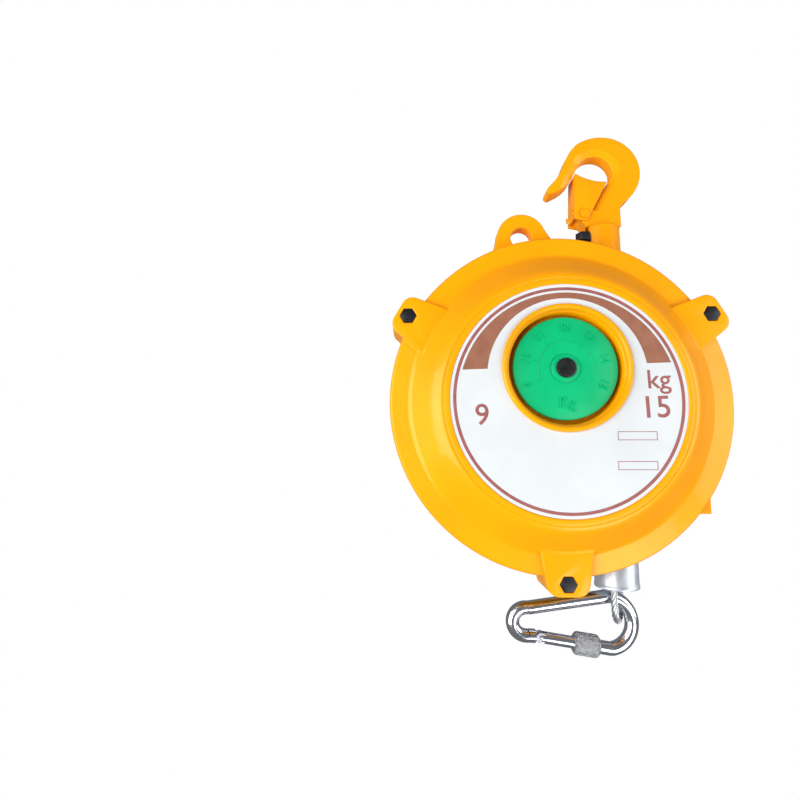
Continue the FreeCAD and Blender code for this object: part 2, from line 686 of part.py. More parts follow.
def swivel_collar():
    """The collar under the hook, with the stem that turns in the boss."""
    body = make_body("swivel_collar", Placement(
        Vector(0, 0, -float(dim.axis_drop)), Rotation()))
    top, boss = dim.collar_top, dim.boss_top
    turned(outline(make_sketch(body, "XZ_Plane"), (0, boss - 28), (dim.stem_radius, boss - 28),
                   (dim.stem_radius, boss + 0.3), (dim.collar_radius, boss + 0.3),
                   (dim.collar_radius, top - 1), Arc(1, dim.collar_radius - 1, top), (0, top)))
    pocket(box(make_sketch(body, height=top - 6), dim.bowl_offset * -1 - 7, -6.05,
               dim.bowl_offset * -1 + 15.4, 6.05), 8)


def stem_nut():
    body = make_body("stem_nut", Placement(Vector(0, 0, -float(dim.axis_drop)), Rotation()))
    sketch = hexagon(make_sketch(body, height=dim.boss_top - 28), 0, 0, 16)
    circle(sketch, 0, 0, dim.stem_radius)
    pad(sketch, 7)


def latch():
    """The sheet-metal safety latch: two cheeks joined by a web along the throat."""
    body = make_body("latch", HOOK)
    half = dim.hook_thickness / 2 + 0.3
    for side in (-half - dim.latch_sheet, half):
        pad(outline(make_sketch(body, height=side), (-13.4, -1.2), Arc(34, 7, -7.2),
                    (-5.2, -30.6), Arc(-4, -9.9, -33.2), (-14.8, -32.2)), dim.latch_sheet)
    pad(outline(make_sketch(body, height=-half), (-13.4, -1.2), (-14.55, -24), (-13.5, -24),
                (-12.3, -1.6)), half * 2)
    pocket(circle(make_sketch(body, height=-12), -dim.latch_x, -dim.latch_y,
                  dim.latch_pin + dim.running_gap), 24)


def latch_pivot():
    body = make_body("latch_pivot", HOOK)
    half = dim.hook_thickness / 2 + 0.3 + dim.latch_sheet + 0.2
    x, y = -dim.latch_x, -dim.latch_y
    pad(circle(make_sketch(body, height=-half), x, y, dim.latch_pin), half * 2)
    pad(circle(make_sketch(body, height=half), x, y, 3.1), 0.9)
    pad(circle(make_sketch(body, height=-half - 0.9), x, y, 3.1), 0.9)


# ---------------------------------------------------------------- drum lock

def lock_bushing():
    """The castellated bush that the lock handle rests on or drops into."""
    body = make_body("lock_bushing")
    x, y = dim.lock_x, dim.lock_y
    back, seat = -dim.castle_back, -dim.castle_back + 6
    sketch = circle(make_sketch(body, height=back), x, y, dim.castle_radius)
    pad(sketch, 6)
    pad(circle(make_sketch(body, height=seat), x, y, 8), 2)
    pocket(circle(make_sketch(body, height=back - 1), x, y, 6.2), 5)
    pocket(circle(make_sketch(body, height=back - 1), x, y, dim.lock_pin + 0.06), 14)
    cos, sin = polar(1, 35)
    pocket(outline(make_sketch(body, height=back - 1), *[
        (x + along * cos - across * sin, y + along * sin + across * cos)
        for along, across in ((-12, -2.6), (12, -2.6), (12, 2.6), (-12, 2.6))]), 5)


def lock_spring():
    """The compression spring that pushes the pin towards the drum."""
    body = make_body("lock_spring", CASE * Placement(
        Vector(float(dim.lock_x), float(dim.lock_y), 0), Rotation()))
    sketch = circle(make_sketch(body, "XZ_Plane"), 7, -21.4, 0.5)
    feature("AdditiveHelix", sketch, ReferenceAxis=(sketch, ["V_Axis"]), Pitch=2.2, Height=6.6)


def lock_pin():
    body = make_body("lock_pin")
    x, y = dim.lock_x, dim.lock_y
    bar = -dim.castle_back - dim.lock_bar - 0.3
    pad(circle(make_sketch(body, height=bar), x, y, dim.lock_pin),
        -bar - dim.hub_back - 1.3)
    pad(circle(make_sketch(body, height=bar - 3.6), x, y, dim.lock_pin - 0.35), 3.6)
    pocket(circle(make_sketch(body, "XZ_Plane", height=-y - 10), x, bar, dim.lock_bar), 20)


def lock_bar():
    body = make_body("lock_bar")
    pad(circle(make_sketch(body, "XZ_Plane", height=-dim.lock_y - dim.lock_bar_length / 2),
               dim.lock_x, -dim.castle_back - dim.lock_bar - 0.3, dim.lock_bar),
        dim.lock_bar_length)


def bar_tips():
    body = make_body("bar_tips")
    body.AllowCompound = True
    bar = -dim.castle_back - dim.lock_bar - 0.3
    for start in (-dim.lock_y - dim.lock_bar_length / 2,
                  -dim.lock_y + dim.lock_bar_length / 2 - dim.lock_tip_length):
        sketch = circle(make_sketch(body, "XZ_Plane", height=start), dim.lock_x, bar,
                        dim.lock_tip)
        circle(sketch, dim.lock_x, bar, dim.lock_bar)
        pad(sketch, dim.lock_tip_length)


# ---------------------------------------------------------------- load end

def rope_run():
    body = make_body("rope_run")
    pad(circle(make_sketch(body, "XZ_Plane"), dim.load_offset, 0, dim.rope / 2),
        dim.ferrule_top)


def bumper():
    body = make_body("bumper")
    sketch = circle(make_sketch(body, "XZ_Plane", height=dim.bumper_top), dim.load_offset, 0,
                    dim.bumper_radius)
    circle(sketch, dim.load_offset, 0, dim.rope / 2)
    pad(sketch, dim.ferrule_top - dim.bumper_top)


def ferrule():
    body = make_body("ferrule")
    pad(circle(make_sketch(body, "XZ_Plane", height=dim.ferrule_top), dim.load_offset, 0,
               dim.ferrule_radius), dim.ferrule_end - dim.ferrule_top)


def rope_eye():
    """The loop of rope below the ferrule."""
    turn = Rotation(Vector(0, 0, 1), float(dim.eye_turn)) * Rotation(Vector(1, 0, 0), 90)
    body = make_body("rope_eye", Placement(
        Vector(0, 0, -float(dim.axis_drop + dim.ferrule_end)), turn))
    legs = make_sketch(body, "XZ_Plane")
    body.AllowCompound = True
    circle(legs, dim.eye_radius, 0, dim.rope / 2)
    circle(legs, -dim.eye_radius, 0, dim.rope / 2)
    straight = dim.eye_end - dim.ferrule_end - dim.eye_radius - dim.rope / 2
    pad(legs, straight)
    bend = make_sketch(body, "XZ_Plane", height=straight)
    circle(bend, dim.eye_radius, 0, dim.rope / 2)
    turned(bend, Angle=180, Reversed=True)


# ---------------------------------------------------------------- carabiner

GATE_ANGLE = math.degrees(math.asin((float(dim.wide_bend) - float(dim.small_bend))
                                    / float(dim.bend_distance)))
CARABINER = CASE * Placement(
    Vector(float(dim.load_offset - dim.wide_x), -float(dim.wide_y), 0), Rotation())


def along_gate(distance):
    """A point on the gate's line, measured from the wide bend towards the small one."""
    cos, sin = polar(1, -90 + GATE_ANGLE)
    return dim.wide_bend * cos + distance * sin, dim.wide_bend * sin + distance * cos


GATE = CARABINER * Placement(
    Vector(*[float(v) for v in along_gate(dim.gate_end)], 0),
    Rotation(Vector(0, 0, 1), -GATE_ANGLE))


def rod(body, start, end, radius):
    """A straight round rod between two points of the body's front plane."""
    x0, y0 = (float(v) for v in start)
    x1, y1 = (float(v) for v in end)
    added = body.newObject("PartDesign::AdditiveCylinder", body.Name + "_rod")
    support = [f for f in body.Origin.OriginFeatures if f.Role == "XY_Plane"][0]
    added.AttachmentSupport = [(support, "")]
    added.MapMode = "FlatFace"
    added.AttachmentOffset = Placement(
        Vector(x0, y0, 0), Rotation(Vector(0, 0, 1), Vector(x1 - x0, y1 - y0, 0)))
    bind(added, "Radius", radius)
    added.Height = math.hypot(x1 - x0, y1 - y0)
    doc.recompute()


def carabiner():
    """The pear-shaped hook of round wire, open between its nose and the gate's pivot."""
    body = make_body("carabiner", CARABINER)
    wire, wide, small = dim.wire / 2, dim.wide_bend, dim.small_bend
    turned(circle(make_sketch(body, "XZ_Plane"), wide, 0, wire), Angle=180 - 2 * GATE_ANGLE,
           Midplane=True)
    cos, sin = polar(1, 90 - GATE_ANGLE)
    far = -dim.bend_distance
    rod(body, (wide * cos, wide * sin), (far + small * cos, small * sin), wire)
    bend = circle(make_sketch(body, "XZ_Plane"), far - small, 0, wire)
    axis = Vector(float(far), 0, 0)
    bend.addGeometry(Part.LineSegment(axis, axis + Vector(0, 5, 0)), True)
    feature("Revolution", bend, ReferenceAxis=(bend, ["Axis0"]), Angle=180 + 2 * GATE_ANGLE,
            Midplane=True)
    rod(body, (wide * cos, -wide * sin), along_gate(dim.gate_start), wire)
    rod(body, along_gate(dim.gate_end + dim.knuckle + 0.3),
        (far + small * cos, -small * sin), wire)
    x, y = along_gate(dim.gate_end)
    end_x, end_y = along_gate(dim.gate_end + dim.knuckle + 2)
    reach_x, reach_y = polar(dim.knuckle - 0.1, 90 - GATE_ANGLE)
    pad(circle(make_sketch(body, height=-dim.tab / 2), x, y, dim.knuckle - 0.1), dim.tab)
    pad(outline(make_sketch(body, height=-dim.tab / 2), (x - reach_x, y - reach_y),
                (x + reach_x, y + reach_y), (end_x + reach_x, end_y + reach_y),
                (end_x - reach_x, end_y - reach_y)), dim.tab)
    pocket(circle(make_sketch(body, height=-dim.wire), x, y, dim.pin), dim.wire * 2)


def gate():
    """The sprung gate, threaded near its free end for the locking sleeve."""
    body = make_body("gate", GATE)
    length = dim.gate_end - dim.gate_start - 0.4
    pad(circle(make_sketch(body, "YZ_Plane"), 0, 0, dim.gate_wire / 2), length)
    pad(circle(make_sketch(body, "YZ_Plane", height=length - 16), 0, 0, dim.wire / 2 - 0.1), 16)
    pad(circle(make_sketch(body, height=-dim.knuckle), 0, 0, dim.knuckle), dim.knuckle * 2)
    pocket(box(make_sketch(body, height=-dim.tab / 2 - 0.15), -5, -5, dim.knuckle + 0.4, 5),
           dim.tab + 0.3)
    pocket(circle(make_sketch(body, height=-dim.wire), 0, 0, dim.pin + dim.running_gap),
           dim.wire * 2)


def gate_pin():
    """The rivet that the gate turns on."""
    body = make_body("gate_pin", GATE)
    length = dim.gate_wire + 0.6
    pad(circle(make_sketch(body, height=-length / 2), 0, 0, dim.pin), length)


def screw_sleeve():
    body = make_body("screw_sleeve", GATE)
    start = dim.gate_end - dim.gate_start - 0.4 - dim.sleeve_length - 0.4
    sketch = circle(make_sketch(body, "YZ_Plane", height=start), 0, 0, dim.sleeve_radius)
    circle(sketch, 0, 0, dim.wire / 2 + 0.05)
    pad(sketch, dim.sleeve_length)


# ---------------------------------------------------------------- build and check

front_cover()
rear_frame()
label_plate()
cover_bolts()
main_axle()
rope_guide()
ring("hub_spacer", dim.bush_radius, dim.axle_radius, dim.shell_wall - dim.shell_back,
     -dim.hub_end - 0.2)
drum()
rope_coil()
rope_anchor()
ring("drum_bushing", dim.bush_radius, dim.axle_radius + dim.running_gap, -dim.hub_end,
     dim.web_front)
mainspring()
ring("spring_cover", dim.spring_room + 3, 14, dim.drum_front, dim.drum_front + 1.6)
arbor()
dial_pinion()
worm_wheel()
worm_screw()
adjusting_nut()
dial()
dial_gear()
dial_pivot()
top_hook()
swivel_collar()
stem_nut()
latch()
latch_pivot()
lock_bushing()
ring("lock_collar", 6.2, dim.lock_pin + 0.06, -16, -14.2, (dim.lock_x, dim.lock_y))
lock_spring()
lock_pin()
lock_bar()
bar_tips()
rope_run()
bumper()
ferrule()
rope_eye()
carabiner()
gate()
gate_pin()
screw_sleeve()

doc.recompute()
for item in doc.Objects:
    bad = [state for state in item.State if state in ("Invalid", "Error")]
    if bad:
        raise SystemExit("%s is %s" % (item.Name, bad))
os.makedirs("parts", exist_ok=True)
for node in nodes:
    if node.Shape.isNull() or not node.Shape.isValid():
        raise SystemExit("%s has no valid shape" % node.Label)
    node.Shape.exportStep("parts/%s.step" % node.Label)
    extent = node.Shape.BoundBox
    print("%-16s %2d solids %9.1f mm3  x %.1f..%.1f y %.1f..%.1f z %.1f..%.1f" % (
        node.Label, len(node.Shape.Solids), node.Shape.Volume, extent.XMin, extent.XMax,
        extent.YMin, extent.YMax, extent.ZMin, extent.ZMax))
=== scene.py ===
"""The looks of a spring tool balancer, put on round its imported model, from the case to the hook."""

import json
import math

import bmesh
import bpy
from mathutils import Matrix, Vector

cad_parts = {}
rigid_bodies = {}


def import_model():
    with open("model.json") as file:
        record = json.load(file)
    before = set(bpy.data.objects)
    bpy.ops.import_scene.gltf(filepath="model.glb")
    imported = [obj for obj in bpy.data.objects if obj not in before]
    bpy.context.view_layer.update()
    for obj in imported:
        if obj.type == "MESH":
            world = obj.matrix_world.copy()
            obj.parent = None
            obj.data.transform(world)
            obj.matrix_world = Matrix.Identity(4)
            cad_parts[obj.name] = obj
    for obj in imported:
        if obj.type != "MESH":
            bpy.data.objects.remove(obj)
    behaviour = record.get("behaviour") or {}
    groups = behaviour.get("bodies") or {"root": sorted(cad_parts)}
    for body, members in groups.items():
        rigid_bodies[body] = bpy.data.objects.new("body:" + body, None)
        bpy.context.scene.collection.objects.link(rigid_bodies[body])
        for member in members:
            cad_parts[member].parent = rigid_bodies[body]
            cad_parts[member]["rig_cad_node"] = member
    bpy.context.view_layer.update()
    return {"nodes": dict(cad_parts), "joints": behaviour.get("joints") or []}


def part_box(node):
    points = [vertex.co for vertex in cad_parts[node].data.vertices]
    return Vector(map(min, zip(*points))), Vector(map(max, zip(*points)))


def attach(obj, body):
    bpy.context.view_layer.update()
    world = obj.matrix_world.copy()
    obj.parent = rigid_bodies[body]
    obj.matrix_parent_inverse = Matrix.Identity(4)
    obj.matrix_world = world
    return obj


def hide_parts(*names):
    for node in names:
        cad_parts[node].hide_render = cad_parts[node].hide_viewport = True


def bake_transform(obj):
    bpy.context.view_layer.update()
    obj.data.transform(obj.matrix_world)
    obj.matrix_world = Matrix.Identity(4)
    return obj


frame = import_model()
nodes = frame["nodes"]
joints = {joint["name"]: joint for joint in frame["joints"]}
bpy.ops.object.select_all(action="DESELECT")


# ---------------------------------------------------------------- rear casting
# The rear half of the case: rim, fan-shaped shell, bearing pad, rope outlet and hook boss in
# one aluminium casting. It is shot-blasted and then stove-enamelled a warm yellow.

MM = 0.001


def wire(finish, source, target):
    """Join two sockets, each given as a node and the name of its socket."""
    finish.node_tree.links.new(source[0].outputs[source[1]], target[0].inputs[target[1]])


def add_node(finish, kind, inputs=(), **settings):
    """Add a shader node with its settings and its input values."""
    node = finish.node_tree.nodes.new(kind)
    for name, value in settings.items():
        setattr(node, name, value)
    for name, value in dict(inputs).items():
        node.inputs[name].default_value = value
    return node


def finish_of(name, **sockets):
    """A new finish whose constant values sit on the shader's own sockets."""
    finish = bpy.data.materials.new(name)
    finish.use_nodes = True
    shader = finish.node_tree.nodes["Principled BSDF"]
    for socket, value in sockets.items():
        shader.inputs[socket.replace("_", " ")].default_value = value
    return finish, shader


def noise_on(finish, scale, detail, stretch):
    """A soft noise that stays put on the piece, finer with a larger scale."""
    place = add_node(finish, "ShaderNodeTexCoord")
    sized = add_node(finish, "ShaderNodeMapping", {"Scale": stretch})
    noise = add_node(finish, "ShaderNodeTexNoise", {"Scale": scale, "Detail": detail})
    wire(finish, (place, "Object"), (sized, "Vector"))
    wire(finish, (sized, "Vector"), (noise, "Vector"))
    return noise


def mottle(finish, shader, socket, scale, low, high, detail=4.0):
    """Vary a colour or a value softly over the surface between two limits."""
    noise = noise_on(finish, scale, detail, (1, 1, 1))
    ramp = add_node(finish, "ShaderNodeValToRGB")
    for element, position, colour in zip(ramp.color_ramp.elements, (0.3, 0.7), (low, high)):
        element.position = position
        element.color = (*colour, 1) if isinstance(colour, tuple) else (colour, colour, colour, 1)
    wire(finish, (noise, "Fac"), (ramp, "Fac"))
    wire(finish, (ramp, "Color"), (shader, socket))


def grain(finish, shader, scale, height, detail=3.0, stretch=(1, 1, 1), soft=0):
    """Raise a fine uneven texture, its height in metres, and soften the edges' shading."""
    noise = noise_on(finish, scale, detail, stretch)
    bump = add_node(finish, "ShaderNodeBump", {"Strength": 1.0, "Distance": height})
    wire(finish, (noise, "Fac"), (bump, "Height"))
    wire(finish, (bump, "Normal"), (shader, "Normal"))
    if soft:
        edges = add_node(finish, "ShaderNodeBevel", {"Radius": soft}, samples=8)
        wire(finish, (edges, "Normal"), (bump, "Normal"))


def dress(finish, *names):
    """Give CAD pieces a finish, and keep their shapes."""
    for name in names:
        nodes[name].data.materials.clear()
        nodes[name].data.materials.append(finish)


enamel, shader = finish_of("yellow_enamel", Coat_Weight=0.2, Coat_Roughness=0.08,
                           Specular_Tint=(1, 0.8, 0.3, 1), Specular_IOR_Level=0.45)
mottle(enamel, shader, "Base Color", 28, (0.93, 0.335, 0.0), (0.97, 0.37, 0.0), 5)
mottle(enamel, shader, "Roughness", 60, 0.3, 0.4)
grain(enamel, shader, 420, 0.00012, 2, soft=0.0012)
dress(enamel, "rear_frame")


# ---------------------------------------------------------------- drum and works
# Inside the case turn the cast drum with its spring and bronze bush, and the adjusting train.
# The drum is bare aluminium, the springs are blue-grey strip, the shafts are black oxide steel.

aluminium, shader = finish_of("drum_aluminium", Metallic=0.5)
mottle(aluminium, shader, "Base Color", 120, (0.46, 0.52, 0.58), (0.64, 0.69, 0.75), 6)
mottle(aluminium, shader, "Roughness", 200, 0.38, 0.6)
grain(aluminium, shader, 700, 0.00012, 5)
dress(aluminium, "drum")

spring_steel, shader = finish_of("spring_steel", Metallic=1.0)
mottle(spring_steel, shader, "Base Color", 150, (0.10, 0.11, 0.13), (0.22, 0.23, 0.25))
mottle(spring_steel, shader, "Roughness", 150, 0.25, 0.4)
dress(spring_steel, "mainspring", "lock_spring", "spring_cover")

bronze, shader = finish_of("bronze", Metallic=1.0)
mottle(bronze, shader, "Base Color", 150, (0.42, 0.22, 0.08), (0.55, 0.31, 0.12))
mottle(bronze, shader, "Roughness", 150, 0.25, 0.4)
dress(bronze, "drum_bushing", "worm_wheel")

oxide, shader = finish_of("black_oxide", Metallic=0.55)
mottle(oxide, shader, "Base Color", 300, (0.012, 0.013, 0.015), (0.028, 0.029, 0.033))
mottle(oxide, shader, "Roughness", 240, 0.34, 0.5)
grain(oxide, shader, 1500, 0.00003)
dress(oxide, "hub_spacer", "arbor", "dial_pinion", "worm_screw", "lock_collar")


# ---------------------------------------------------------------- front casting
# The bell-shaped front half of the case, a turned aluminium casting with three bolt lugs and
# a lipped well for the dial. Its corners are rounded, because the sand mould leaves them so.

CASE_X, CASE_Z = joints["drum_spin"]["pos_m"][::2]
WELL = (0, (joints["dial_turn"]["pos_m"][2] - CASE_Z) / MM)
BOLT_CIRCLE = 97.5


def case_point(x, y, height):
    """A place given from the drum's axis, and towards the dial from the rope's plane."""
    return Vector((CASE_X + x * MM, -height * MM, CASE_Z + y * MM))


FACING = Matrix.Translation(case_point(0, 0, 0)) @ Matrix.Rotation(math.pi / 2, 4, "X")


def active(piece):
    """Make a piece the only selected one."""
    bpy.ops.object.select_all(action="DESELECT")
    piece.select_set(True)
    bpy.context.view_layer.objects.active = piece
    return piece


def settle(name):
    """Name the new primitive, and move its place and turn into its mesh."""
    piece = bpy.context.object
    piece.name = name
    active(piece)
    bpy.ops.object.transform_apply(location=True, rotation=True, scale=True)
    return piece


def outward(piece):
    """Merge doubles and turn the faces outwards, which is sure only where the piece is closed."""
    active(piece)
    bpy.ops.object.mode_set(mode="EDIT")
    bpy.ops.mesh.select_all(action="SELECT")
    bpy.ops.mesh.remove_doubles(threshold=0.002 * MM)
    bpy.ops.mesh.normals_make_consistent(inside=False)
    bpy.ops.object.mode_set(mode="OBJECT")
    return piece


def turn(name, rings, centre=(0, 0), sides=128, lie=FACING):
    """A body turned from rings of radius and height, facing the dial's way unless lie says."""
    radius, height = rings[0]
    bpy.ops.mesh.primitive_circle_add(vertices=sides, radius=radius * MM, fill_type="NGON",
                                      location=(centre[0] * MM, centre[1] * MM, height * MM))
    piece = settle(name)
    bpy.ops.object.mode_set(mode="EDIT")
    for wider, higher in rings[1:]:
        bpy.ops.mesh.extrude_region_move(
            TRANSFORM_OT_translate={"value": (0, 0, (higher - height) * MM)})
        scale = wider / radius
        bpy.ops.transform.resize(value=(scale, scale, 1),
                                 center_override=(centre[0] * MM, centre[1] * MM, 0))
        radius, height = wider, higher
    bpy.ops.object.mode_set(mode="OBJECT")
    piece.data.transform(lie)
    return outward(piece)


def cut(piece, tool):
    """Cut one closed body out of another."""
    active(piece)
    hollow = piece.modifiers.new("hollow", "BOOLEAN")
    hollow.object = tool
    hollow.operation = "DIFFERENCE"
    hollow.solver = "EXACT"
    bpy.ops.object.modifier_apply(modifier="hollow")
    bpy.data.objects.remove(tool)
    return piece


def rounded(piece, width, segments=3, sharp=35, smooth=32):
    """Round the sharp edges of a piece, and shade it smooth between the ones that stay."""
    active(piece)
    bevel = piece.modifiers.new("rounded", "BEVEL")
    bevel.width = width * MM
    bevel.segments = segments
    bevel.limit_method = "ANGLE"
    bevel.angle_limit = math.radians(sharp)
    bpy.ops.object.modifier_apply(modifier="rounded")
    bpy.ops.object.shade_smooth_by_angle(angle=math.radians(smooth))
    return piece


def join(name, *parts):
    """Join pieces that are one part on the real thing."""
    active(parts[0])
    for part in parts[1:]:
        part.select_set(True)
    bpy.ops.object.join()
    parts[0].name = name
    return parts[0]


def copies_round(piece, angles):
    """Copies of a piece, each with its own mesh, turned about the drum's axis."""
    copies = []
    for angle in angles:
        active(piece)
        bpy.ops.object.duplicate(linked=False)
        copy = bpy.context.object
        copy.data.transform(Matrix.Translation(case_point(0, 0, 0))
                            @ Matrix.Rotation(math.radians(-angle), 4, "Y")
                            @ Matrix.Translation(-case_point(0, 0, 0)))
        copies.append(copy)
    return copies


def fit(piece, finish, body, slot, *replaced):
    """Give a piece its finish, its body and the CAD nodes that it stands for."""
    piece.data.materials.clear()
    piece.data.materials.append(finish)
    if body:
        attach(piece, body)
    if replaced:
        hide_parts(*replaced)
    return piece


def lug_block():
    """One bolt lug: a flat block with rounded shoulders that runs up the bell's slope."""
    length, thick, width, flare, shoulder = (n * MM for n in (26, 13, 21, 4, 5.5))
    bpy.ops.mesh.primitive_cube_add(size=1, location=case_point(91, 0, 37.5),
                                    scale=(length, thick, width))
    block = settle("lug")
    bpy.ops.object.mode_set(mode="EDIT")
    mesh = bmesh.from_edit_mesh(block.data)
    inner_end = case_point(80, 0, 0).x
    for vertex in mesh.verts:
        if vertex.co.x < inner_end:
            vertex.co.z += math.copysign(flare, vertex.co.z - CASE_Z)
    for edge in mesh.edges:
        a, b = (vertex.co for vertex in edge.verts)
        edge.select = a.x > inner_end and b.x > inner_end and abs(a.z - b.z) < MM
    bmesh.update_edit_mesh(block.data)
    bpy.ops.mesh.bevel(offset=shoulder, segments=6)
    bpy.ops.object.mode_set(mode="OBJECT")
    bpy.ops.mesh.primitive_cylinder_add(vertices=6, radius=4.85 * MM, depth=5 * MM,
                                        location=case_point(BOLT_CIRCLE, 0, 42),
                                        rotation=(math.pi / 2, 0, 0))
    cut(block, settle("hexagon_pocket"))
    return rounded(block, 1.5, 4)


LABEL_SEAT = [(20, 54.4), (62.4, 54.4), (62.45, 55.1), (62.8, 55.45), (64.6, 55.5)]
RIDGE = [(65.5, 55.3), (65.9, 54.9), (66.3, 55.25), (67.4, 55.05), (69.2, 54.1)]
SLOPE = [(71.5, 52.4), (74.5, 49.7), (82.2, 42.6), (83.4, 41.6), (85, 41.1)]
FLANGE = [(93, 41.1), (94.2, 40.8), (94.8, 40.1), (95, 39.2), (95, 31), (88, 31)]
INSIDE = [(88, 36.8), (79, 37.7), (62.4, 50.4), (20, 50.4)]
bell = turn("front_casting", LABEL_SEAT + RIDGE + SLOPE + FLANGE + INSIDE, sides=192)
cut(bell, turn("well_hole", [(33, 60), (33, 45)], WELL))
lip = turn("well_lip", [
    (20, 40.5), (34.6, 40.5), (34.6, 55.6), (34.3, 56.5), (33.6, 57), (32.7, 57), (31.9, 56.5),
    (31.5, 55.7), (31.3, 54.2), (30.8, 53.8), (30.5, 53.2), (30.5, 45), (30, 44.2), (20, 44)],
    WELL)
for shell in (bell, lip):
    rounded(shell, 0.3, 2, 50, 32)
level_lug = lug_block()
lugs = copies_round(level_lug, (30, 150, 270))
bpy.data.objects.remove(level_lug)
fit(join("front_casting", bell, lip, *lugs), enamel, "case", "yellow_paint", "front_cover")


# ---------------------------------------------------------------- label
# A white lacquered plate in the bell's seat. Its ring, crescent and weight range are screen
# printed in a brownish rose, and stand a hair above the lacquer.

PRINT, INK = 55.0, 0.06
TILT = 1.75


def flat_disc(name, radius, height, thick, centre=(0, 0), sides=192):
    """A closed disc parallel to the dial."""
    bpy.ops.mesh.primitive_cylinder_add(vertices=sides, radius=radius * MM, depth=thick * MM,
                                        location=case_point(*centre, height + thick / 2),
                                        rotation=(math.pi / 2, 0, 0))
    return settle(name)


def writing(name, words, x, y, height, tall, raised, turned=0):
    """Figures in the plain built-in type face, raised from the surface they are on."""
    bpy.ops.object.text_add(location=case_point(x, y, height),
                            rotation=(math.pi / 2, math.radians(-turned), 0))
    piece = bpy.context.object
    piece.name = name
    piece.data.body = words
    piece.data.size = tall / 0.70 * MM
    piece.data.extrude = raised * MM
    piece.data.offset = tall * 0.012 * MM
    piece.data.align_x = "CENTER"
    piece.data.align_y = "CENTER"
    active(piece)
    bpy.ops.object.convert(target="MESH")
    return outward(settle(name))


def oblong(name, x, y, width, tall, thick):
    """An oblong plate that lies in the print."""
    bpy.ops.mesh.primitive_cube_add(size=1, location=case_point(x, y, PRINT + 0.02),
                                    scale=(width * MM, thick * MM, tall * MM))
    return settle(name)


label, shader = finish_of("white_label", Coat_Weight=0.3, Coat_Roughness=0.12)
mottle(label, shader, "Base Color", 40, (0.61, 0.64, 0.655), (0.66, 0.69, 0.705))
mottle(label, shader, "Roughness", 90, 0.3, 0.42)
dress(label, "label_plate")

rose, shader = finish_of("rose_print")
mottle(rose, shader, "Base Color", 160, (0.27, 0.085, 0.08), (0.33, 0.105, 0.10))
mottle(rose, shader, "Roughness", 160, 0.4, 0.5)
brown, shader = finish_of("brown_print")
mottle(brown, shader, "Base Color", 160, (0.26, 0.10, 0.06), (0.31, 0.125, 0.075))
mottle(brown, shader, "Roughness", 160, 0.4, 0.5)

ring = cut(flat_disc("label_ring", 60.6, PRINT, INK),
           flat_disc("inside_ring", 58.9, PRINT - 1, 2))
fit(ring, rose, "case", "white_label")

crescent = cut(flat_disc("label_crescent", 57.7, PRINT, INK),
               flat_disc("inside_crescent", 42.3, PRINT - 1, 2, (0, 12.2), 160))
active(crescent)
bpy.ops.object.mode_set(mode="EDIT")
bpy.ops.mesh.select_all(action="SELECT")
lean = math.radians(TILT)
bpy.ops.mesh.bisect(plane_co=case_point(0, 17.5, PRINT),
                    plane_no=(-math.sin(lean), 0, math.cos(lean)), use_fill=True,
                    clear_inner=True)
bpy.ops.object.mode_set(mode="OBJECT")
fit(crescent, brown, "case", "white_label")

for name, words, x, y, tall in (("figure_low", "9", -45.4, -8.8, 11),
                                ("figure_unit", "kg", 47.4, 9.8, 9.8),
                                ("figure_high", "15", 45.2, -5, 11.4)):
    fit(writing(name, words, x, y, PRINT, tall, 0.05, TILT), rose, "case", "white_label")

for name, x, y in (("blank_field_1", 35, -19.5), ("blank_field_2", 34.5, -34.9)):
    fit(cut(oblong(name, x, y, 20.4, 4.6, 0.05), oblong("inside_field", x, y, 19.7, 3.9, 2.05)),
        rose, "case", "white_label")


# ---------------------------------------------------------------- dial
# The tension dial, moulded in green plastic with its scale raised on the face. It shows the
# set weight, and turns on a black slotted pin in the middle of the well.

DIAL_FACE, RAISED = 52.0, 0.5
SCALE_RADIUS, FIGURE_RADIUS = 14.7, 21.8
KG_STEP = 38

green, shader = finish_of("green_plastic", Specular_IOR_Level=0.25)
mottle(green, shader, "Base Color", 60, (0.0, 0.41, 0.15), (0.0, 0.46, 0.175))
mottle(green, shader, "Roughness", 120, 0.32, 0.42)
grain(green, shader, 800, 0.00003)
dress(green, "dial_gear")

face = turn("tension_dial", [
    (3.2, 49), (27.7, 49), (28, 49.3), (28, 51.5), (27.85, 51.8), (27.5, 52), (8.3, 52),
    (8.1, 51.7), (7.7, 51.7), (7.5, 52), (7.4, 52.35), (7.1, 52.5), (3.2, 52.5)], WELL)
rounded(face, 0.05, 1, 60, 40)

well_centre = case_point(*WELL, DIAL_FACE)
bpy.ops.curve.primitive_bezier_circle_add(radius=SCALE_RADIUS * MM, location=well_centre,
                                          rotation=(math.pi / 2, 0, 0))
scale_line = bpy.context.object
scale_line.data.bevel_depth = 0.3 * MM
scale_line.data.resolution_u = 24
active(scale_line)
bpy.ops.object.convert(target="MESH")
scale_line = settle("scale_line")
bpy.ops.object.mode_set(mode="EDIT")
mesh = bmesh.from_edit_mesh(scale_line.data)
for vertex in mesh.verts:
    away = vertex.co - well_centre
    vertex.select = abs(math.degrees(math.atan2(away.x, away.z))) > 3 * KG_STEP
mesh.select_flush(True)
bmesh.update_edit_mesh(scale_line.data)
bpy.ops.mesh.delete(type="VERT")
bpy.ops.mesh.select_all(action="SELECT")
bpy.ops.mesh.region_to_loop()
bpy.ops.mesh.edge_face_add()
bpy.ops.object.mode_set(mode="OBJECT")

